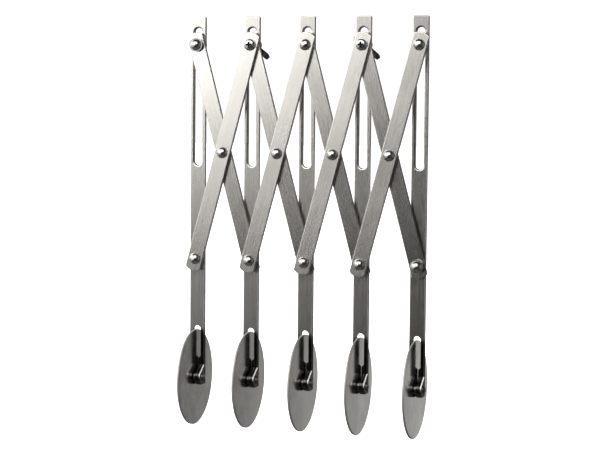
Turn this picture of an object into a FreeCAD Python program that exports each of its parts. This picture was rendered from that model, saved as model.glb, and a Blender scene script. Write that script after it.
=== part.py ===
import FreeCAD, Part
import math
import os
import Sketcher

# Expandable pastry cutter: five flat bars, each with a cutting wheel in its forked foot,
# joined by a lattice of eight links so that every wheel keeps the same distance from the next.
#
# Frame: millimetres, +Z up. The origin is on the work surface, straight below the middle
# wheel's axle. +X runs along the row of wheels and -Y is the front, where the rivets' domes are.

SIZES = (
    ("link_length", 127.0, "pivot to pivot along a link"),
    ("rest_pitch", 32.8, "bar to bar as stored"),
    ("strip_width", 9.2, "width of bars and links"),
    ("strip_thick", 2.0, "thickness of bars and links"),
    ("end_reach", 7.1, "pivot to the crowned end of a link"),
    ("layer_gap", 0.1, "play between sliding layers"),
    ("corner_round", 0.9, "corner of a bar's top or a link's end"),
    ("edge_round", 0.4, "broken edge of the stamped strip"),
    ("stem_length", 39.3, "round top of the fork to a bar's fixed pivot"),
    ("slot_rise", 53.7, "fixed pivot to the low end of the guide slot"),
    ("slot_spare", 5.4, "high end of the guide slot beyond a link's length from the pivot"),
    ("slot_play", 0.3, "play of a shank on each side of the guide slot"),
    ("slot_round", 0.9, "rolled front edge of the guide slot"),
    ("top_wall", 6.4, "high end of the guide slot to the top of a bar"),
    ("fork_half_width", 2.2, "half the width of the upper, wide part of the fork"),
    ("fork_spare", 1.9, "top of the wheel to the round top of the fork"),
    ("fork_neck", 10.5, "axle to where the fork narrows"),
    ("slit_play", 0.35, "play on each side of a wheel in its slit"),
    ("ear_thick", 3.1, "an ear, side to side"),
    ("ear_round", 4.5, "radius of an ear about the axle"),
    ("ear_rise", 6.9, "axle to where an ear leaves the bar"),
    ("ear_lean", 30.0, "degrees up the ear's round where its slope begins"),
    ("ear_edge", 0.6, "rounded rim of an ear's outer side"),
    ("pin_radius", 2.0, "shank of rivets and screws"),
    ("pin_play", 0.05, "radial play of a shank in its hole"),
    ("dome_lap", 1.3, "rivet's dome beyond its shank"),
    ("dome_height", 2.4, "height of a rivet's dome"),
    ("tail_lap", 1.0, "closed head beyond the shank"),
    ("tail_height", 0.9, "height of a closed head"),
    ("flush_lap", 0.9, "flush head beyond the shank"),
    ("flush_depth", 0.9, "depth of a flush head"),
    ("spacer_wall", 1.85, "spacer's hole to its rim"),
    ("washer_lap", 2.0, "washer beyond the guide slot, each side"),
    ("washer_thick", 0.8, "washer behind a guide slot"),
    ("screw_lap", 1.4, "lock screw's head beyond its shank"),
    ("screw_height", 2.3, "height of a lock screw's head"),
    ("screw_crown", 0.4, "crown on the flat top of a lock screw's head"),
    ("screw_side", 1.2, "rounded side of a lock screw's head, outwards"),
    ("screw_round", 2.1, "radius of the rounded side of a lock screw's head"),
    ("recess_width", 1.2, "one arm of the cross recess, across"),
    ("recess_length", 3.3, "one arm of the cross recess, tip to tip"),
    ("recess_depth", 1.3, "cross recess below the top of the head"),
    ("screw_proud", 0.6, "screw beyond the wing nut's hub"),
    ("hub_wall", 1.85, "wing nut's bore to the foot of its hub"),
    ("hub_taper", 0.6, "foot of the wing nut's hub less its top"),
    ("hub_height", 4.6, "wing nut's hub"),
    ("wing_thick", 2.4, "wing nut's wing"),
    ("wing_reach", 9.9, "wing nut's axis to a wing's tip"),
    ("wing_round", 2.9, "round end of a wing"),
    ("wing_rise", 6.8, "washer to the centre of a wing's round end"),
    ("wing_foot", 1.2, "washer to the low edge of a wing at the hub"),
    ("wing_edge", 0.5, "rounded rim of a wing"),
    ("wing_turn", 50.0, "degrees that the first wing hangs below level"),
    ("wheel_radius", 27.5, "cutting wheel"),
    ("wheel_thick", 1.2, "cutting wheel"),
    ("bevel_width", 0.3, "bevel round the wheel's edge"),
    ("bevel_land", 0.8, "flat left at the wheel's edge"),
    ("axle_radius", 1.5, "wheel axle"),
    ("axle_lap", 0.8, "axle's domed ends beyond its shank"),
    ("axle_proud", 1.7, "axle's domed ends beyond the ears"),
    ("bush_wall", 1.3, "bush beyond the axle"),
    ("bush_play", 0.1, "side play of a bush at its ear"),
    ("bush_clear", 0.4, "bush to the front face of its bar"),
)

BAR_COUNT = 5
MIDDLE_BAR = 3
LOCKED_BARS = (2, 4)

doc = FreeCAD.newDocument("PastryCutter")
sheet = doc.addObject("Spreadsheet::Sheet", "Sizes")
for row, (alias, amount, meaning) in enumerate(SIZES, start=1):
    sheet.set(f"A{row}", meaning)
    sheet.set(f"B{row}", str(amount))
    sheet.setAlias(f"B{row}", alias)
doc.recompute()


class Size:
    """A size that knows its present number and the formula that binds it to the sheet."""

    def __init__(self, number, text):
        self.number = number
        self.text = text

    def join(self, other, sign, number):
        return Size(number, f"({self.text} {sign} {sized(other).text})")

    def __add__(self, other):
        return self.join(other, "+", self.number + sized(other).number)

    def __sub__(self, other):
        return self.join(other, "-", self.number - sized(other).number)

    def __mul__(self, other):
        return self.join(other, "*", self.number * sized(other).number)

    def __truediv__(self, other):
        return self.join(other, "/", self.number / sized(other).number)

    def __neg__(self):
        return self * -1

    def root(self):
        return Size(math.sqrt(self.number), f"sqrt({self.text})")


def sized(amount):
    """A plain number as a Size; a Size as it is."""
    if isinstance(amount, Size):
        return amount
    return Size(float(amount), f"({amount})")


def size(alias):
    return Size(float(sheet.get(alias)), f"Sizes.{alias}")


def leg(long_side, short_side):
    """The other leg of a right-angled triangle."""
    return (long_side * long_side - short_side * short_side).root()


ZERO = sized(0)
HALF_WIDTH = size("strip_width") / 2
THICK = size("strip_thick")
EAR = size("ear_thick")
GAP = size("layer_gap")
LINK = size("link_length")
PITCH = size("rest_pitch")
PIN = size("pin_radius")
PLAY = size("pin_play")
HOLE = PIN + PLAY
AXLE = size("axle_radius")
AXLE_HOLE = AXLE + PLAY
BUSH = AXLE + size("bush_wall")
SLOT = PIN + size("slot_play")
DOME = PIN + size("dome_lap")
FLUSH = PIN + size("flush_lap")

# Heights above the work surface, which the wheels' lowest points touch.
AXLE_Z = size("wheel_radius")
EAR_TOP = AXLE_Z + size("ear_rise")
FORK_TOP = AXLE_Z * 2 + size("fork_spare")
PIVOT_Z = FORK_TOP + size("stem_length")
RISE = leg(LINK, PITCH)
TOP_PIN_Z = PIVOT_Z + RISE
SLOT_START = PIVOT_Z + size("slot_rise")
SLOT_END = PIVOT_Z + LINK + size("slot_spare")
BAR_TOP = SLOT_END + size("top_wall")

# Layers from back to front: the bars, the back links, then the front links.
BAR_FRONT = BUSH + size("bush_clear")
BAR_BACK = BAR_FRONT + THICK
BACK_LINK_FRONT = BAR_FRONT - GAP - THICK
FRONT_LINK_FRONT = BACK_LINK_FRONT - GAP - THICK
HEAD_SEAT = FRONT_LINK_FRONT - GAP
WASHER_FRONT = BAR_BACK + GAP
WASHER_BACK = WASHER_FRONT + size("washer_thick")


def bind(thing, prop, amount):
    thing.setExpression(prop, sized(amount).text)


def new_body(label):
    body = doc.addObject("PartDesign::Body", label)
    body.Label = label
    return body


def origin_plane(body, role):
    return next(item for item in body.Origin.OriginFeatures if item.Role == role)


def new_sketch(body, role, offset=ZERO):
    """A sketch on one of the body's own planes, moved along that plane's normal."""
    sketch = body.newObject("Sketcher::SketchObject", "Sketch")
    sketch.AttachmentSupport = (origin_plane(body, role), [""])
    sketch.MapMode = "FlatFace"
    sketch.AttachmentOffset = FreeCAD.Placement(
        FreeCAD.Vector(0, 0, offset.number), FreeCAD.Rotation())
    bind(sketch, "AttachmentOffset.Base.z", offset)
    return sketch


def dimension(sketch, kind, target, amount):
    """Add one dimension and bind it to its formula."""
    index = sketch.addConstraint(Sketcher.Constraint(kind, *target, amount.number))
    sketch.setExpression(f"Constraints[{index}]", amount.text)


def place_point(sketch, edge, end, point):
    """Hold one end or centre of an edge at a point measured from the sketch's origin."""
    for kind, amount in zip(("DistanceX", "DistanceY"), point):
        dimension(sketch, kind, (-1, 1, edge, end), amount)


def round_side(start, end, radius):
    """An anticlockwise arc between two points."""
    chord = end - start
    inward = FreeCAD.Vector(-chord.y, chord.x, 0).normalize()
    depth = math.sqrt(max(radius ** 2 - (chord.Length / 2) ** 2, 0))
    centre = (start + end) / 2 + inward * depth
    angles = [math.atan2(spot.y - centre.y, spot.x - centre.x) for spot in (start, end)]
    circle = Part.Circle(centre, FreeCAD.Vector(0, 0, 1), radius)
    return Part.ArcOfCircle(circle, *angles)


def draw_outline(sketch, points, rounds=None):
    """Close an anticlockwise outline; rounds gives the radius of the sides that are arcs."""
    rounds = rounds or {}
    points = [(sized(across), sized(up)) for across, up in points]
    spots = [FreeCAD.Vector(across.number, up.number, 0) for across, up in points]
    edges = []
    for index, start in enumerate(spots):
        end = spots[(index + 1) % len(spots)]
        if index in rounds:
            side = round_side(start, end, rounds[index].number)
        else:
            side = Part.LineSegment(start, end)
        edges.append(sketch.addGeometry(side, False))
    for index, edge in enumerate(edges):
        sketch.addConstraint(Sketcher.Constraint("Coincident", edges[index - 1], 2, edge, 1))
        place_point(sketch, edge, 1, points[index])
    for index, radius in rounds.items():
        dimension(sketch, "Radius", (edges[index],), radius)


def draw_circle(sketch, centre, radius):
    spot = FreeCAD.Vector(centre[0].number, centre[1].number, 0)
    circle = Part.Circle(spot, FreeCAD.Vector(0, 0, 1), radius.number)
    edge = sketch.addGeometry(circle, False)
    place_point(sketch, edge, 3, centre)
    dimension(sketch, "Radius", (edge,), radius)


def draw_slot(sketch, half_width, low, high):
    """A slot along the sketch's upright axis, with round ends."""
    left = -half_width
    draw_outline(
        sketch,
        [(ZERO, low), (half_width, low + half_width), (half_width, high - half_width),
         (ZERO, high), (left, high - half_width), (left, low + half_width)],
        {0: half_width, 2: half_width, 3: half_width, 5: half_width})


def pad(body, sketch, length, reverse=False):
    feature = body.newObject("PartDesign::Pad", "Pad")
    feature.Profile = sketch
    feature.Reversed = reverse
    bind(feature, "Length", length)
    return feature


def pocket(body, sketch, depth=None):
    """Cut from the sketch against its normal, to a depth or right through."""
    feature = body.newObject("PartDesign::Pocket", "Pocket")
    feature.Profile = sketch
    if depth is None:
        feature.Type = "ThroughAll"
    else:
        bind(feature, "Length", depth)
    return feature


def turn(body, sketch):
    """Spin a half section about the sketch's upright axis."""
    feature = body.newObject("PartDesign::Revolution", "Revolution")
    feature.Profile = sketch
    feature.ReferenceAxis = (sketch, ["V_Axis"])
    feature.Angle = 360
    return feature


def round_edges(body, feature, wanted, radius):
    """Round the edges of a feature that a test picks out."""
    doc.recompute()
    names = [f"Edge{number}" for number, edge in enumerate(feature.Shape.Edges, start=1)
             if wanted(edge)]
    fillet = body.newObject("PartDesign::Fillet", "Fillet")
    fillet.Base = (feature, names)
    bind(fillet, "Radius", radius)
    return fillet


def finish_strip(body, feature, above):
    """Ease the corners of a strip, then break its outline on both faces."""
    side = HALF_WIDTH.number
    hair = GAP.number
    eased_side = side - size("corner_round").number - hair

    def is_corner(edge):
        box = edge.BoundBox
        at_side = box.XLength < hair and abs(abs(box.XMin) - side) < hair
        return at_side and box.ZLength < hair and box.ZMin > above.number

    def is_outline(edge):
        box = edge.BoundBox
        at_rim = max(abs(box.XMin), abs(box.XMax)) > eased_side
        return at_rim and box.YLength < hair and box.ZMax > above.number

    eased = round_edges(body, feature, is_corner, size("corner_round"))
    return round_edges(body, eased, is_outline, size("edge_round"))


def place(body, across=ZERO, depth=ZERO, up=ZERO):
    for prop, amount in zip(("x", "y", "z"), (across, depth, up)):
        bind(body, f"Placement.Base.{prop}", amount)


def tilt(body, axis, angle):
    """Turn a body about an axis by an angle that is bound to the sheet."""
    body.Placement = FreeCAD.Placement(FreeCAD.Vector(), FreeCAD.Rotation(axis, angle.number))
    bind(body, "Placement.Rotation.Angle", angle)


def bar_x(bar):
    return PITCH * (bar - MIDDLE_BAR)


# ------------------------------------------------------------------ bars and links

def ear_outline():
    """Side view of an ear: its web at the bar, a slope, and a round about the axle."""
    ear = size("ear_round")
    lean = size("ear_lean")
    radians = math.radians(lean.number)
    slope_y = -ear * Size(math.cos(radians), f"cos({lean.text} * 1deg)")
    slope_z = ear * Size(math.sin(radians), f"sin({lean.text} * 1deg)")
    points = [(BAR_BACK, AXLE_Z - ear), (BAR_BACK, EAR_TOP), (BAR_FRONT, EAR_TOP),
              (slope_y, AXLE_Z + slope_z), (-ear, AXLE_Z), (ZERO, AXLE_Z - ear)]
    return points, {3: ear, 4: ear}


def round_ears(body, feature):
    """Round the rim of each ear's outer side, in front of the bar."""
    side = HALF_WIDTH.number
    hair = GAP.number

    def is_rim(edge):
        box = edge.BoundBox
        in_front = box.YMin < BAR_FRONT.number - hair and box.ZMin < EAR_TOP.number - hair
        on_side = box.XLength < hair and abs(abs(box.XMin) - side) < hair
        is_bore = box.ZMin > AXLE_Z.number - AXLE_HOLE.number - hair and (
            box.ZMax < AXLE_Z.number + AXLE_HOLE.number + hair)
        return in_front and on_side and not is_bore

    return round_edges(body, feature, is_rim, size("ear_edge"))


def roll_slot(body, feature):
    """Roll the front edge of the guide slot, all round."""
    hair = GAP.number

    def is_rim(edge):
        box = edge.BoundBox
        in_front = box.YMax < BAR_FRONT.number + hair
        inside = max(abs(box.XMin), abs(box.XMax)) < SLOT.number + hair
        return in_front and inside and box.ZMin > PIVOT_Z.number + HOLE.number

    return round_edges(body, feature, is_rim, size("slot_round"))


def make_bar(bar):
    """A flat bar: square top, guide slot, pivot hole, and a forked foot with two ears."""
    body = new_body(f"bar_{bar}")
    foot = AXLE_Z - size("ear_round")
    face = new_sketch(body, "XZ_Plane", -BAR_FRONT)
    draw_outline(
        face,
        [(-HALF_WIDTH, foot), (HALF_WIDTH, foot), (HALF_WIDTH, BAR_TOP),
         (-HALF_WIDTH, BAR_TOP)])
    pad(body, face, THICK, reverse=True)
    for inner in (HALF_WIDTH - EAR, -HALF_WIDTH):
        side = new_sketch(body, "YZ_Plane", inner)
        draw_outline(side, *ear_outline())
        pad(body, side, EAR)
    guide = new_sketch(body, "XZ_Plane", -BAR_FRONT)
    draw_slot(guide, SLOT, SLOT_START, SLOT_END)
    pocket(body, guide)
    pivot = new_sketch(body, "XZ_Plane", -BAR_FRONT)
    draw_circle(pivot, (ZERO, PIVOT_Z), HOLE)
    pocket(body, pivot)
    fork = new_sketch(body, "XZ_Plane", -BAR_FRONT)
    wide = size("fork_half_width")
    narrow = size("wheel_thick") / 2 + size("slit_play")
    neck = AXLE_Z + size("fork_neck")
    draw_outline(
        fork,
        [(-narrow, foot - THICK), (narrow, foot - THICK), (narrow, neck),
         (wide, neck + wide - narrow), (wide, FORK_TOP - wide), (ZERO, FORK_TOP),
         (-wide, FORK_TOP - wide), (-wide, neck + wide - narrow), (-narrow, neck)],
        {4: wide, 5: wide})
    pocket(body, fork)
    bore = new_sketch(body, "YZ_Plane", HALF_WIDTH + EAR)
    draw_circle(bore, (ZERO, AXLE_Z), AXLE_HOLE)
    bored = pocket(body, bore)
    finish_strip(body, roll_slot(body, round_ears(body, bored)), EAR_TOP + GAP)
    place(body, across=bar_x(bar))
    return body


def make_link(label, low_bar, front, lean):
    """A flat link: crowned ends and three holes; lean is 1 where its top leans to +X."""
    body = new_body(label)
    reach = size("end_reach")
    drop = leg(reach, HALF_WIDTH)
    face = new_sketch(body, "XZ_Plane")
    draw_outline(
        face,
        [(-HALF_WIDTH, -drop), (HALF_WIDTH, -drop), (HALF_WIDTH, LINK + drop),
         (-HALF_WIDTH, LINK + drop)],
        {0: reach, 2: reach})
    pad(body, face, THICK, reverse=True)
    holes = new_sketch(body, "XZ_Plane")
    for height in (ZERO, LINK / 2, LINK):
        draw_circle(holes, (ZERO, height), HOLE)
    drilled = pocket(body, holes)
    if lean < 0:
        drilled = sink_back(body)
    finish_strip(body, drilled, -LINK)
    angle = Size(math.degrees(math.asin(PITCH.number / LINK.number)),
                 f"asin({PITCH.text} / {LINK.text})")
    tilt(body, FreeCAD.Vector(0, lean, 0), angle)
    place(body, bar_x(low_bar), front, PIVOT_Z)
    return body


def sink_back(body):
    """The countersink in a back link's middle hole, for the flush head."""
    groove = body.newObject("PartDesign::Groove", "Countersink")
    cone = new_sketch(body, "YZ_Plane")
    wide = FLUSH + PLAY
    middle = LINK / 2
    draw_outline(
        cone,
        [(THICK - size("flush_depth"), middle), (THICK, middle), (THICK, middle + wide),
         (THICK - size("flush_depth"), middle + HOLE)])
    line = cone.addGeometry(Part.LineSegment(
        FreeCAD.Vector(0, middle.number, 0), FreeCAD.Vector(THICK.number, middle.number, 0)), True)
    place_point(cone, line, 1, (ZERO, middle))
    place_point(cone, line, 2, (THICK, middle))
    groove.Profile = cone
    groove.ReferenceAxis = (cone, ["Axis0"])
    groove.Angle = 360
    return groove


# ------------------------------------------------------------------ turned pieces

def turned(label, points, rounds=None):
    """A turned piece: its half section is given as (radius, place along the axis)."""
    body = new_body(label)
    section = new_sketch(body, "XY_Plane")
    draw_outline(section, points, rounds)
    turn(body, section)
    return body


def lay_on_axle(body, bar):
    """Turn a piece from the upright axis to the axle's, and put it at the bar's foot."""
    sideways = FreeCAD.Rotation(FreeCAD.Vector(0, 0, 1), -90)
    body.Placement = FreeCAD.Placement(FreeCAD.Vector(), sideways)
    place(body, bar_x(bar), ZERO, AXLE_Z)


def make_ring(label, outer, front, back, bar, height):
    body = turned(label, [(HOLE, front), (outer, front), (outer, back), (HOLE, back)])
    place(body, bar_x(bar), ZERO, height)
    return body


def dome_round(radius, height):
    """Radius of the sphere whose cap has this foot and height."""
    return (radius * radius + height * height) / (height * 2)


def domed(label, head, height, tail):
    """A shank with a dome in front; tail lists the corners that close it behind."""
    points = [(ZERO, HEAD_SEAT - height), (head, HEAD_SEAT), (PIN, HEAD_SEAT)]
    return turned(label, points + tail, {0: dome_round(head, height)})


def make_rivet(label, tail_front, bar, height):
    """A rivet with a dome in front and a closed head behind."""
    rim = PIN + size("tail_lap")
    tail_back = tail_front + size("tail_height")
    body = domed(
        label, DOME, size("dome_height"),
        [(PIN, tail_front), (rim, tail_front), (rim - size("tail_height") / 2, tail_back),
         (ZERO, tail_back)])
    place(body, bar_x(bar), ZERO, height)
    return body


def make_middle_rivet(cell):
    """Joins two crossing links; its flush head leaves room for the bars as they close up."""
    back = BACK_LINK_FRONT + THICK
    body = domed(
        f"mid_rivet_{cell}", DOME, size("dome_height"),
        [(PIN, back - size("flush_depth")), (FLUSH, back), (ZERO, back)])
    place(body, bar_x(cell) + PITCH / 2, ZERO, PIVOT_Z + RISE / 2)
    return body


def make_lock_screw(bar):
    """A cross-recessed pan head screw in the guide slot, long enough for the wing nut."""
    crest = HEAD_SEAT - size("screw_height")
    tip = WASHER_BACK + size("hub_height") + size("screw_proud")
    head = PIN + size("screw_lap")
    top = head - size("screw_side")
    body = turned(
        f"lock_screw_{bar}",
        [(ZERO, crest), (top, crest + size("screw_crown")), (head, HEAD_SEAT),
         (PIN, HEAD_SEAT), (PIN, tip), (ZERO, tip)],
        {0: dome_round(top, size("screw_crown")), 1: size("screw_round")})
    place(body, bar_x(bar), ZERO, TOP_PIN_Z)
    half_long = size("recess_length") / 2
    half_wide = size("recess_width") / 2
    floor = crest + size("recess_depth")
    for half_x, half_z in ((half_long, half_wide), (half_wide, half_long)):
        arm = new_sketch(body, "XZ_Plane", -(crest - GAP))
        draw_outline(arm, [(-half_x, -half_z), (half_x, -half_z), (half_x, half_z),
                           (-half_x, half_z)])
        pocket(body, arm, floor - crest + GAP)
    return body


def round_wings(body, feature):
    """Round the rims of both wings, outside the hub."""
    face = size("wing_thick").number / 2
    hair = GAP.number
    hub = HOLE.number + size("hub_wall").number

    def is_rim(edge):
        box = edge.BoundBox
        on_face = box.ZLength < hair and abs(abs(box.ZMin) - face) < hair
        return on_face and max(abs(box.XMin), abs(box.XMax)) > hub + hair

    return round_edges(body, feature, is_rim, size("wing_edge"))


def make_wing_nut(bar):
    """A wing nut behind the bar: a tapered hub and two lobes that sweep backwards."""
    foot = HOLE + size("hub_wall")
    top = foot - size("hub_taper")
    high = size("hub_height")
    tip = size("wing_round")
    centre = size("wing_reach") - tip
    rise = size("wing_rise")
    low = size("wing_foot")
    body = new_body(f"wing_nut_{bar}")
    hub = new_sketch(body, "XY_Plane")
    draw_outline(hub, [(HOLE, ZERO), (foot, ZERO), (top, high), (HOLE, high)])
    turn(body, hub)
    root = HOLE + PLAY
    right = [(root, low), (centre, rise - tip), (centre + tip, rise), (centre, rise + tip),
             (root, high)]
    left = [(-across, along) for across, along in reversed(right)]
    for lobe in (right, left):
        plate = new_sketch(body, "XY_Plane", -(size("wing_thick") / 2))
        draw_outline(plate, lobe, {1: tip, 2: tip})
        winged = pad(body, plate, size("wing_thick"))
    round_wings(body, winged)
    tilt(body, FreeCAD.Vector(0, 1, 0), size("wing_turn"))
    place(body, bar_x(bar), WASHER_BACK, TOP_PIN_Z)
    return body


def make_wheel(bar):
    """A thin cutting disc with a bevelled edge."""
    half = size("wheel_thick") / 2
    land = size("bevel_land") / 2
    shoulder = AXLE_Z - size("bevel_width")
    body = turned(
        f"wheel_{bar}",
        [(AXLE_HOLE, -half), (shoulder, -half), (AXLE_Z, -land), (AXLE_Z, land),
         (shoulder, half), (AXLE_HOLE, half)])
    lay_on_axle(body, bar)
    return body


def make_axle(bar):
    """A plain pin through both ears, with a domed end on each side."""
    head = AXLE + size("axle_lap")
    proud = size("axle_proud")
    end = HALF_WIDTH + proud
    curve = dome_round(head, proud)
    body = turned(
        f"axle_{bar}",
        [(ZERO, -end), (head, -HALF_WIDTH), (AXLE, -HALF_WIDTH), (AXLE, HALF_WIDTH),
         (head, HALF_WIDTH), (ZERO, end)],
        {0: curve, 4: curve})
    lay_on_axle(body, bar)
    return body


def make_bushes(bar):
    """The two bushes that keep a wheel midway between its ears."""
    body = new_body(f"bushes_{bar}")
    body.AllowCompound = True
    near = size("wheel_thick") / 2
    far = HALF_WIDTH - EAR - size("bush_play")
    section = new_sketch(body, "XY_Plane")
    for low, high in ((near, far), (-far, -near)):
        draw_outline(section, [(AXLE_HOLE, low), (BUSH, low), (BUSH, high), (AXLE_HOLE, high)])
    turn(body, section)
    lay_on_axle(body, bar)
    return body


# ------------------------------------------------------------------ the whole cutter

nodes = []
for bar in range(1, BAR_COUNT + 1):
    nodes.append(make_bar(bar))
    nodes.append(make_rivet(f"bottom_rivet_{bar}", BAR_BACK, bar, PIVOT_Z))
    nodes.append(make_ring(f"top_washer_{bar}", SLOT + size("washer_lap"), WASHER_FRONT,
                           WASHER_BACK, bar, TOP_PIN_Z))
    if bar in LOCKED_BARS:
        nodes.append(make_lock_screw(bar))
        nodes.append(make_wing_nut(bar))
    else:
        nodes.append(make_rivet(f"top_rivet_{bar}", WASHER_BACK, bar, TOP_PIN_Z))
    nodes.append(make_wheel(bar))
    nodes.append(make_bushes(bar))
    nodes.append(make_axle(bar))
for cell in range(1, BAR_COUNT):
    nodes.append(make_link(f"front_link_{cell}", cell, FRONT_LINK_FRONT, 1))
    nodes.append(make_link(f"back_link_{cell}", cell + 1, BACK_LINK_FRONT, -1))
    nodes.append(make_middle_rivet(cell))
for name, bar, height, front in (
        ("top_spacer_1", 1, TOP_PIN_Z, FRONT_LINK_FRONT),
        ("top_spacer_5", BAR_COUNT, TOP_PIN_Z, BACK_LINK_FRONT),
        ("bottom_spacer_1", 1, PIVOT_Z, BACK_LINK_FRONT),
        ("bottom_spacer_5", BAR_COUNT, PIVOT_Z, FRONT_LINK_FRONT)):
    nodes.append(make_ring(name, HOLE + size("spacer_wall"), front, front + THICK, bar, height))

doc.recompute()
failed = [item.Label for item in doc.Objects if {"Invalid", "Error"} & set(item.State)]
if failed:
    raise RuntimeError(f"objects that did not recompute: {failed}")
os.makedirs("parts", exist_ok=True)
for node in nodes:
    if node.Shape.isNull() or not node.Shape.isValid():
        raise RuntimeError(f"{node.Label} has no valid shape")
    node.Shape.exportStep(f"parts/{node.Label}.step")
print(len(nodes), "nodes written")
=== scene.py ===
import math

import bmesh
import bpy
from mathutils import Matrix, Quaternion, Vector


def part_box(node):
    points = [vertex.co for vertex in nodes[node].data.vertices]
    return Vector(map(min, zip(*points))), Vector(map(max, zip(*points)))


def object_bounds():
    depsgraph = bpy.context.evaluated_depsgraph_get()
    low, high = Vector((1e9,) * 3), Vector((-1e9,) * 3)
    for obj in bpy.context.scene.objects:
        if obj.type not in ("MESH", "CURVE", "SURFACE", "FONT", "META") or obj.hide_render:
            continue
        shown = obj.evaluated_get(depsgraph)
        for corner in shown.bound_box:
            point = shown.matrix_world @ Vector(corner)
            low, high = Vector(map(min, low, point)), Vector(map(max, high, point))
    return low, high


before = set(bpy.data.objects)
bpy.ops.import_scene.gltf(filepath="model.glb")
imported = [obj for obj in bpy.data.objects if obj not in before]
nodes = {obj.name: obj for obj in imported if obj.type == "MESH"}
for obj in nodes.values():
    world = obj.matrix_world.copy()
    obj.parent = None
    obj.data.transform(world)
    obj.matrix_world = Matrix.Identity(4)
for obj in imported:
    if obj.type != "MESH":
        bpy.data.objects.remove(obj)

MM = 0.001

BARS = (1, 2, 3, 4, 5)
CELLS = (1, 2, 3, 4)
LOCKED_BARS = (2, 4)
RIVETED_BARS = (1, 3, 5)

STRIP_HALF_WIDTH = 4.6 * MM
SCREW_CROWN_RADIUS = 6.2 * MM
RECESS_REACH = 2.0 * MM

# How bright each strip is coloured, from left to right: painted light and shade, each strip
# made lighter or darker for the light it gets, the bars darker towards the right.
BAR_LIGHT_AND_SHADE = (1.0, 0.99, 0.95, 0.91, 0.75)
FRONT_LIGHT_AND_SHADE = (1.0, 1.02, 1.08, 0.97)
BACK_LIGHT_AND_SHADE = (1.07, 1.12, 1.08, 1.04)

STEEL = (0.635, 0.61, 0.572)
SHEARED_STEEL = (0.20, 0.192, 0.182)
POLISHED_STEEL = (0.69, 0.67, 0.64)
DOME_STEEL = (0.54, 0.53, 0.51)
TURNED_STEEL = (0.28, 0.27, 0.255)
CAST_STEEL = (0.16, 0.156, 0.15)
SCALED_STEEL = (0.10, 0.097, 0.093)
# Painted shadow: the near black of the fork between a bar's ears, where the wheel shades it.
PAINTED_FORK_SHADOW = (0.03, 0.029, 0.027)
# Painted shade: the dark inside a lock screw's cross recess.
RECESS_SHADE = (0.02, 0.02, 0.019)

CAMERA_YAW, CAMERA_PITCH, CAMERA_ROLL = 17.69, 4.09, 0.475
CAMERA_DISTANCE = 1.0
CAMERA_LENS = 105.8
CAMERA_SENSOR = 36
CAMERA_AIM = Vector((-2.5, 1.2, -0.5)) * MM

FLOOR_HALF_SIZE = 6.0

cad_low, cad_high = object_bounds()


def middle(node):
    low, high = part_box(node)
    return (low + high) / 2


# ------------------------------------------------------------------ finishes

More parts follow.
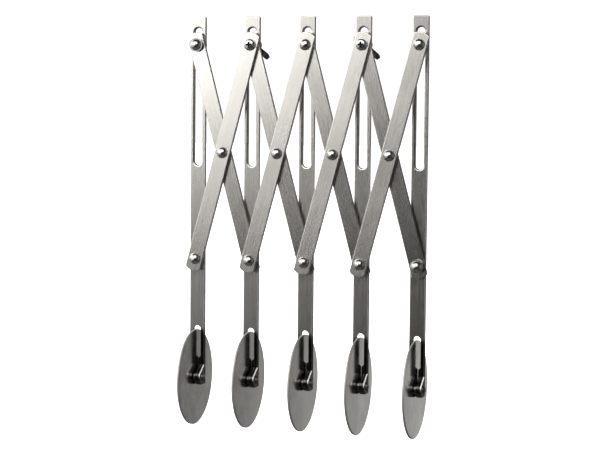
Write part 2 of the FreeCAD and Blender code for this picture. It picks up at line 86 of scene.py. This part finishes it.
class Finish:
    """One material and the few node moves that every finish here is built from."""

    def __init__(self, name):
        self.material = bpy.data.materials.new(name)
        self.material.use_nodes = True
        self.nodes = self.material.node_tree.nodes
        self.links = self.material.node_tree.links
        self.shader = self.nodes["Principled BSDF"]
        self.place = self.node("TexCoord").outputs["Object"]
        self.facing = self.place.node.outputs["Normal"]

    def node(self, kind, **settings):
        made = self.nodes.new("ShaderNode" + kind)
        for name, value in settings.items():
            setattr(made, name, value)
        return made

    def feed(self, socket, value):
        """Link a socket's output to another, or set a plain value on it."""
        if isinstance(value, bpy.types.NodeSocket):
            self.links.new(value, socket)
        else:
            socket.default_value = value

    def math(self, operation, *values):
        made = self.node("Math", operation=operation)
        for socket, value in zip(made.inputs, values):
            self.feed(socket, value)
        return made.outputs[0]

    def vector_math(self, operation, *values):
        made = self.node("VectorMath", operation=operation)
        for socket, value in zip(made.inputs, values):
            self.feed(socket, value)
        return made.outputs["Value" if operation in ("LENGTH", "DOT_PRODUCT") else "Vector"]

    def mapped(self, vector, centre=(0, 0, 0), turn=(0, 0, 0), scale=(1, 1, 1)):
        """Coordinates measured from a centre, along turned axes, in units of scale."""
        made = self.node("Mapping", vector_type="TEXTURE")
        self.feed(made.inputs["Vector"], vector)
        made.inputs["Location"].default_value = centre
        made.inputs["Rotation"].default_value = turn
        made.inputs["Scale"].default_value = scale
        return made.outputs["Vector"]

    def split(self, vector):
        made = self.node("SeparateXYZ")
        self.feed(made.inputs[0], vector)
        return made.outputs

    def joined(self, x=0.0, y=0.0, z=0.0):
        made = self.node("CombineXYZ")
        for socket, value in zip(made.inputs, (x, y, z)):
            self.feed(socket, value)
        return made.outputs[0]

    def grain(self, vector, detail=2.0, rough=0.5):
        """Noise from 0 to 1 whose grains are one unit of the coordinates across."""
        made = self.node("TexNoise")
        self.feed(made.inputs["Vector"], vector)
        made.inputs["Scale"].default_value = 1.0
        made.inputs["Detail"].default_value = detail
        made.inputs["Roughness"].default_value = rough
        return made.outputs[0]

    def ramp(self, value, low, high, to_low=0.0, to_high=1.0):
        """Ease a value from one range to another, and hold it at the ends."""
        made = self.node("MapRange", interpolation_type="SMOOTHSTEP")
        for name, amount in (("Value", value), ("From Min", low), ("From Max", high),
                             ("To Min", to_low), ("To Max", to_high)):
            self.feed(made.inputs[name], amount)
        return made.outputs[0]

    def mix(self, share, first, second):
        made = self.node("Mix", data_type="RGBA")
        self.feed(made.inputs[0], share)
        self.feed(made.inputs[6], first)
        self.feed(made.inputs[7], second)
        return made.outputs[2]

    def bump(self, height, depth):
        made = self.node("Bump")
        made.inputs["Strength"].default_value = 1.0
        made.inputs["Distance"].default_value = depth
        self.feed(made.inputs["Height"], height)
        self.feed(self.shader.inputs["Normal"], made.outputs[0])

    def metal(self, colour, roughness, bareness=1.0):
        self.feed(self.shader.inputs["Metallic"], bareness)
        self.feed(self.shader.inputs["Base Color"], colour)
        self.feed(self.shader.inputs["Roughness"], roughness)

    def draw_highlights_across(self, lengthwise):
        """Stretch the highlights across a grain that runs along the given direction."""
        turned = self.node("VectorTransform", vector_type="VECTOR",
                           convert_from="OBJECT", convert_to="WORLD")
        self.feed(turned.inputs[0], lengthwise)
        geometry = self.node("NewGeometry")
        across = self.vector_math("CROSS_PRODUCT", geometry.outputs["Normal"],
                                  turned.outputs[0])
        self.feed(self.shader.inputs["Tangent"], across)
        self.shader.inputs["Anisotropic"].default_value = 0.8


def tint(colour, factor=1.0):
    """A colour made brighter or darker, with its alpha."""
    return (*(min(channel * factor, 1.0) for channel in colour), 1.0)


def brushed_strip(name, pivot, lean=0.0, tone=1.0, foot=None):
    """Flat stock brushed along its length: fine grain, streaks, rubbed edges, sheared sides.
    foot gives the axle's place on a bar, whose folded ears are dark with scale and carry a
    painted highlight along their rim, and whose fork between them is painted near black as a
    painted shadow."""
    strip = Finish(name)
    local = strip.mapped(strip.place, centre=pivot, turn=(0, lean, 0))
    fine = strip.grain(strip.mapped(local, scale=(0.10 * MM, 0.10 * MM, 14 * MM)), 3.0)
    streak = strip.grain(strip.mapped(local, scale=(1.1 * MM, 2 * MM, 90 * MM)), 2.0)
    cloud = strip.grain(strip.mapped(local, scale=(16 * MM, 16 * MM, 40 * MM)), 2.0)
    off_centre = strip.math("ABSOLUTE", strip.split(local)[0])
    rubbed = rubbed_edges(strip, local, off_centre)
    side = strip.ramp(strip.math("ABSOLUTE", strip.split(strip.facing)[1]), 0.45, 0.15)
    shade = strip.math("ADD", strip.ramp(streak, 0.3, 0.7, -0.5, 0.5),
                       strip.ramp(cloud, 0.3, 0.7, -0.5, 0.5))
    # tone makes the whole strip lighter or darker: painted light and shade.
    face = strip.mix(strip.ramp(shade, -1.0, 1.0), tint(STEEL, 0.95 * tone),
                     tint(STEEL, 1.04 * tone))
    face = strip.mix(rubbed, face, tint(POLISHED_STEEL))
    colour = strip.mix(side, face, tint(SHEARED_STEEL))
    rough = strip.math("ADD", strip.ramp(fine, 0.25, 0.75, 0.24, 0.29),
                       strip.ramp(cloud, 0.3, 0.7, -0.02, 0.02))
    rough = strip.math("SUBTRACT", rough, strip.math("MULTIPLY", rubbed, 0.06))
    rough = strip.math("ADD", rough, strip.math("MULTIPLY", side, 0.12))
    bareness = 1.0
    if foot:
        about = strip.split(strip.mapped(strip.place, centre=foot))
        folded = strip.ramp(about[1], 3.3 * MM, 2.9 * MM)
        colour, rough = scaled_and_shadowed_fork(strip, about, folded, side, colour, rough)
        # A painted highlight along the ears' rim: bright colour, barely metallic.
        rim_highlight = ear_rim_highlight(strip, local, off_centre, about, folded)
        colour = strip.mix(rim_highlight, colour, tint(POLISHED_STEEL, 1.05))
        rough = strip.math("ADD", rough, strip.math("MULTIPLY", rim_highlight, 0.1))
        bareness = strip.math("SUBTRACT", 1.0, strip.math("MULTIPLY", rim_highlight, 0.9))
    strip.metal(colour, rough, bareness)
    strip.bump(strip.math("ADD", fine, strip.math("MULTIPLY", streak, 0.6)), 0.0009 * MM)
    strip.draw_highlights_across((math.sin(lean), 0, math.cos(lean)))
    return strip.material


def rubbed_edges(strip, local, off_centre):
    """Where handling has polished the long edges of a strip, in patches."""
    patchy = strip.ramp(strip.grain(strip.mapped(local, scale=(1.2 * MM, 1.2 * MM, 5 * MM))),
                        0.35, 0.65)
    at_edge = strip.ramp(off_centre, STRIP_HALF_WIDTH - 0.5 * MM,
                         STRIP_HALF_WIDTH - 0.1 * MM)
    return strip.math("MULTIPLY", at_edge, patchy)


def scaled_and_shadowed_fork(strip, about, folded, side, colour, rough):
    """Darken the fork: scaled on the ears' outsides, and painted near black between them as
    a painted shadow of the wheel.
    """
    # Below the top of the fork: the painted shadow of the wheel on the prongs.
    fork_shadow = strip.ramp(about[2], 29 * MM, 23 * MM)
    flank = strip.math("MULTIPLY", strip.ramp(about[2], 10 * MM, 6 * MM), side)
    dark = strip.math("MAXIMUM", strip.math("MULTIPLY", folded, 0.9),
                      strip.math("MAXIMUM", fork_shadow, flank))
    colour = strip.mix(dark, colour, tint(SCALED_STEEL))
    # Between the ears the fork is painted near black: painted shadow.
    colour = strip.mix(strip.math("MULTIPLY", fork_shadow, strip.math("SUBTRACT", 1.0, folded)),
                       colour, tint(PAINTED_FORK_SHADOW))
    return colour, strip.math("ADD", rough, strip.math("MULTIPLY", dark, 0.1))


def ear_rim_highlight(strip, local, off_centre, about, folded):
    """Painted highlight: the rim of a folded ear, and bands across it, made bright and
    barely metallic.
    """
    rim = strip.math("MULTIPLY", strip.ramp(off_centre, STRIP_HALF_WIDTH - 0.75 * MM,
                                            STRIP_HALF_WIDTH - 0.45 * MM),
                     strip.ramp(off_centre, STRIP_HALF_WIDTH - 0.02 * MM,
                                STRIP_HALF_WIDTH - 0.12 * MM))
    bands = strip.ramp(strip.grain(strip.mapped(local, scale=(0.7 * MM, 8 * MM, 8 * MM))),
                       0.5, 0.7, 0.0, 0.25)
    return strip.math("MULTIPLY", strip.math("MULTIPLY", strip.math("MAXIMUM", rim, bands),
                                             folded),
                      strip.ramp(about[2], -1 * MM, 2 * MM))


def ground_wheel(name, axle, radius):
    """A disc ground in circles about its axle, with a rough cut edge that is coloured darker
    as painted shade.
    """
    wheel = Finish(name)
    local = wheel.mapped(wheel.place, centre=axle)
    x, y, z = wheel.split(local)
    reach = wheel.vector_math("LENGTH", wheel.joined(0.0, y, z))
    rings = wheel.grain(wheel.joined(wheel.math("DIVIDE", reach, 0.15 * MM),
                                     wheel.math("DIVIDE", x, 4 * MM)), 3.0)
    wander = wheel.grain(wheel.mapped(local, scale=(7 * MM, 7 * MM, 7 * MM)), 3.0)
    haze = wheel.grain(wheel.mapped(local, scale=(20 * MM, 16 * MM, 16 * MM)), 2.0)
    tone = wheel.ramp(haze, 0.3, 0.7)
    colour = wheel.mix(tone, tint(STEEL, 0.92), tint(STEEL, 1.04))
    # The rim is rough as cut, and coloured darker: painted shade.
    cut_edge_and_shade = wheel.ramp(reach, radius - 0.35 * MM, radius - 0.2 * MM)
    colour = wheel.mix(cut_edge_and_shade, colour, tint(STEEL, 0.75))
    rough = wheel.math("ADD", wheel.ramp(rings, 0.25, 0.75, 0.12, 0.16),
                       wheel.ramp(wander, 0.3, 0.7, -0.02, 0.03))
    rough = wheel.math("ADD", rough, wheel.math("MULTIPLY", cut_edge_and_shade, 0.5))
    wheel.metal(colour, rough)
    wheel.bump(wheel.math("ADD", rings, wheel.math("MULTIPLY", wander, 0.5)), 0.002 * MM)
    return wheel.material


def polished_head(name, roughness=0.2, steel=DOME_STEEL, crown_centre=None):
    """A domed head, tumbled bright, with faint handling marks.
    crown_centre is given for a screw: below its crown the cross recess is painted dark, a
    painted shade."""
    head = Finish(name)
    marks = head.grain(head.mapped(head.place, scale=(0.35 * MM, 0.35 * MM, 0.35 * MM)), 4.0)
    haze = head.grain(head.mapped(head.place, scale=(2.5 * MM, 2.5 * MM, 2.5 * MM)), 2.0)
    colour = head.mix(haze, tint(steel, 0.94), tint(steel, 1.04))
    rough = head.math("ADD", head.ramp(marks, 0.35, 0.75, roughness, roughness + 0.07),
                      head.ramp(haze, 0.3, 0.7, 0.0, 0.04))
    if crown_centre:
        about = head.mapped(head.place, centre=crown_centre)
        reach = head.vector_math("LENGTH", about)
        x, y, z = head.split(about)
        off_centre = head.vector_math("LENGTH", head.joined(x, 0.0, z))
        # Painted shade in the cross recess.
        recess_shade = head.math("MULTIPLY", head.ramp(reach, SCREW_CROWN_RADIUS - 0.05 * MM,
                                               SCREW_CROWN_RADIUS - 0.25 * MM),
                         head.ramp(off_centre, RECESS_REACH, RECESS_REACH - 0.2 * MM))
        colour = head.mix(recess_shade, colour, tint(RECESS_SHADE))
        rough = head.math("ADD", rough, head.math("MULTIPLY", recess_shade, 0.3))
    head.metal(colour, rough)
    head.bump(marks, 0.002 * MM)
    return head.material


def turned_ring(name, centre):
    """Washers and spacers, faced on the lathe: rings about their own axis."""
    ring = Finish(name)
    local = ring.mapped(ring.place, centre=centre)
    x, y, z = ring.split(local)
    reach = ring.vector_math("LENGTH", ring.joined(x, 0.0, z))
    rings = ring.grain(ring.joined(ring.math("DIVIDE", reach, 0.12 * MM),
                                   ring.math("DIVIDE", y, 0.12 * MM)), 3.0)
    haze = ring.grain(ring.mapped(local, scale=(2 * MM, 2 * MM, 2 * MM)), 2.0)
    colour = ring.mix(haze, tint(TURNED_STEEL, 0.9), tint(TURNED_STEEL, 1.06))
    ring.metal(colour, ring.ramp(rings, 0.25, 0.75, 0.28, 0.40))
    ring.bump(rings, 0.005 * MM)
    return ring.material


def turned_bush(name, centre):
    """The pair of bushes that centres a wheel, turned about the axle."""
    bush = Finish(name)
    local = bush.mapped(bush.place, centre=centre)
    along = bush.split(local)[0]
    rings = bush.grain(bush.joined(bush.math("DIVIDE", along, 0.12 * MM)), 3.0)
    haze = bush.grain(bush.mapped(local, scale=(2 * MM, 2 * MM, 2 * MM)), 2.0)
    colour = bush.mix(haze, tint(TURNED_STEEL, 0.8), tint(TURNED_STEEL, 1.0))
    bush.metal(colour, bush.ramp(rings, 0.25, 0.75, 0.3, 0.42))
    bush.bump(rings, 0.005 * MM)
    return bush.material


def cast_nut(name):
    """A wing nut, cast and tumbled: soft pits and a patchy tone."""
    nut = Finish(name)
    pits = nut.grain(nut.mapped(nut.place, scale=(0.5 * MM, 0.5 * MM, 0.5 * MM)), 5.0, 0.6)
    haze = nut.grain(nut.mapped(nut.place, scale=(3 * MM, 3 * MM, 3 * MM)), 3.0)
    colour = nut.mix(nut.ramp(haze, 0.3, 0.7), tint(CAST_STEEL, 0.88), tint(CAST_STEEL, 1.1))
    rough = nut.math("ADD", nut.ramp(pits, 0.3, 0.7, 0.30, 0.44),
                     nut.ramp(haze, 0.3, 0.7, -0.04, 0.04))
    nut.metal(colour, rough)
    nut.bump(pits, 0.015 * MM)
    return nut.material


def crown_centre_of(screw):
    """Centre of the ball that the crown of a lock screw's head is part of."""
    low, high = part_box(screw)
    return (low.x + high.x) / 2, low.y + SCREW_CROWN_RADIUS, (low.z + high.z) / 2


def give(node, material):
    """Put a finish on a node."""
    nodes[node].data.materials.clear()
    nodes[node].data.materials.append(material)


# ------------------------------------------------------------------ the cutter's pieces

top_pivot = middle("top_rivet_1").z
low_pivot = middle("bottom_rivet_1").z
pitch = middle("bar_2").x - middle("bar_1").x
link_lean = math.atan2(pitch, top_pivot - low_pivot)

for bar, tone in zip(BARS, BAR_LIGHT_AND_SHADE):
    give(f"bar_{bar}",
         brushed_strip(f"brushed_bar_{bar}", (middle(f"bar_{bar}").x, 0, low_pivot),
                       tone=tone, foot=middle(f"axle_{bar}")))
for cell, front_tone, back_tone in zip(CELLS, FRONT_LIGHT_AND_SHADE, BACK_LIGHT_AND_SHADE):
    low_left = (middle(f"bar_{cell}").x, 0, low_pivot)
    low_right = (middle(f"bar_{cell + 1}").x, 0, low_pivot)
    give(f"front_link_{cell}",
         brushed_strip(f"brushed_front_link_{cell}", low_left, link_lean, front_tone))
    give(f"back_link_{cell}",
         brushed_strip(f"brushed_back_link_{cell}", low_right, -link_lean, back_tone))

wheel_radius = middle("wheel_1").z - cad_low.z
wheel_finish = ground_wheel("ground_wheel", middle("axle_3"), wheel_radius)
rivet_finish = polished_head("polished_rivet")
axle_finish = polished_head("dark_axle", 0.3, CAST_STEEL)
nut_finish = cast_nut("cast_nut")
for bar in BARS:
    give(f"wheel_{bar}", wheel_finish)
    give(f"axle_{bar}", axle_finish)
    give(f"bottom_rivet_{bar}", rivet_finish)
    give(f"bushes_{bar}",
         turned_bush(f"turned_bush_{bar}", middle(f"axle_{bar}")))
    give(f"top_washer_{bar}",
         turned_ring(f"turned_washer_{bar}", middle(f"top_washer_{bar}")))
for bar in RIVETED_BARS:
    give(f"top_rivet_{bar}", rivet_finish)
for bar in LOCKED_BARS:
    give(f"lock_screw_{bar}",
         polished_head(f"polished_screw_{bar}", 0.24,
                       crown_centre=crown_centre_of(f"lock_screw_{bar}")))
    give(f"wing_nut_{bar}", nut_finish)
for cell in CELLS:
    give(f"mid_rivet_{cell}", rivet_finish)
for spacer in ("top_spacer_1", "top_spacer_5", "bottom_spacer_1", "bottom_spacer_5"):
    give(spacer, turned_ring(f"turned_{spacer}", middle(spacer)))


# ------------------------------------------------------------------ studio

def pale_floor():
    """A white floor that the metal doesn't reflect."""
    slab = bmesh.new()
    bmesh.ops.create_grid(slab, x_segments=1, y_segments=1, size=FLOOR_HALF_SIZE)
    mesh = bpy.data.meshes.new("floor")
    slab.to_mesh(mesh)
    slab.free()
    floor = bpy.data.objects.new("floor", mesh)
    bpy.context.scene.collection.objects.link(floor)
    paint = Finish("pale_floor")
    paint.shader.inputs["Base Color"].default_value = (0.9, 0.9, 0.9, 1.0)
    paint.shader.inputs["Roughness"].default_value = 0.9
    paint.shader.inputs["Emission Color"].default_value = (1.0, 1.0, 1.0, 1.0)
    paint.shader.inputs["Emission Strength"].default_value = 0.75
    mesh.materials.append(paint.material)
    floor.visible_glossy = False
    floor.visible_shadow = False
    floor.location.z = cad_low.z


def studio_world():
    """A white room for the floor; the metal reflects a dim one."""
    world = bpy.data.worlds.new("studio")
    bpy.context.scene.world = world
    world.use_nodes = True
    tree = world.node_tree
    background = tree.nodes["Background"]
    path = tree.nodes.new("ShaderNodeLightPath")
    mix = tree.nodes.new("ShaderNodeMix")
    mix.data_type = "RGBA"
    tree.links.new(path.outputs["Is Glossy Ray"], mix.inputs[0])
    mix.inputs[6].default_value = (1.2, 1.2, 1.2, 1.0)
    mix.inputs[7].default_value = (0.014, 0.014, 0.014, 1.0)
    tree.links.new(mix.outputs[2], background.inputs["Color"])


def softbox(name, azimuth, elevation, distance, width, height, glow, roll=0.0):
    """A soft light aimed at the cutter; azimuth 0 is in front and 90 is on the right.
    roll turns it about its own axis, anticlockwise from behind the light."""
    centre = (cad_low + cad_high) / 2
    around, up = math.radians(azimuth), math.radians(elevation)
    away = Vector((math.sin(around) * math.cos(up), -math.cos(around) * math.cos(up),
                   math.sin(up)))
    light = bpy.data.lights.new(name, "AREA")
    light.shape = "RECTANGLE"
    light.size, light.size_y = width, height
    light.energy = glow * math.pi * width * height
    lamp = bpy.data.objects.new(name, light)
    lamp.location = centre + away * distance
    lamp.rotation_mode = "QUATERNION"
    lamp.rotation_quaternion = (-away).to_track_quat("-Z", "Y") @ Quaternion(
        (0, 0, 1), math.radians(roll))
    lamp.visible_camera = False
    bpy.context.scene.collection.objects.link(lamp)


def studio_camera():
    """Look at the cutter from a little to its right and a little above."""
    yaw, pitch_down, roll = (math.radians(angle) for angle in
                             (CAMERA_YAW, CAMERA_PITCH, CAMERA_ROLL))
    aim = (cad_low + cad_high) / 2 + CAMERA_AIM
    forward = Vector((-math.sin(yaw) * math.cos(pitch_down),
                      math.cos(yaw) * math.cos(pitch_down), -math.sin(pitch_down)))
    level = Vector((math.cos(yaw), math.sin(yaw), 0))
    upright = level.cross(forward)
    right = level * math.cos(roll) + upright * math.sin(roll)
    up = upright * math.cos(roll) - level * math.sin(roll)
    data = bpy.data.cameras.new("camera")
    data.sensor_width = CAMERA_SENSOR
    data.lens = CAMERA_LENS
    data.clip_start = 0.05
    camera = bpy.data.objects.new("camera", data)
    camera.rotation_mode = "QUATERNION"
    camera.rotation_quaternion = Matrix((right, up, -forward)).transposed().to_quaternion()
    camera.location = aim - forward * CAMERA_DISTANCE
    bpy.context.scene.collection.objects.link(camera)
    bpy.context.scene.camera = camera


pale_floor()
studio_world()
# Each: azimuth, elevation, distance, width, height, glow, and roll where it is turned.
softbox("key_softbox", -39, 18.3, 1.3, 1.05, 0.58, 3.4, -40)
softbox("side_softbox", -66, 5, 1.5, 2.2, 2.2, 0.32)
softbox("left_softbox", -107, 22, 1.5, 3.2, 1.5, 1.6)
softbox("top_softbox", -4, 37, 1.5, 1.8, 1.15, 3.2)
softbox("low_bounce", -58, -16, 1.5, 1.1, 0.6, 0.8)
softbox("backdrop_glow", 182.8, -4, 1.5, 1.1, 0.9, 0.41)
softbox("backdrop_wash", 172, -6, 1.6, 1.8, 1.1, 0.13)
softbox("back_right_glow", 128, -2, 1.5, 1.1, 1.6, 0.45)
softbox("back_left_glow", -140, -4, 1.5, 1.4, 1.0, 0.6)
softbox("right_fill", 88, 0, 1.6, 1.0, 1.6, 0.2)
softbox("right_front_fill", 58, -16, 1.6, 1.0, 1.0, 0.05)
softbox("left_low_glow", -125, -27, 1.5, 1.6, 0.9, 0.35)
softbox("floor_bounce", 0, -88, 1.3, 2.2, 2.2, 0.12)
studio_camera()
bpy.context.scene.view_settings.view_transform = "Standard"
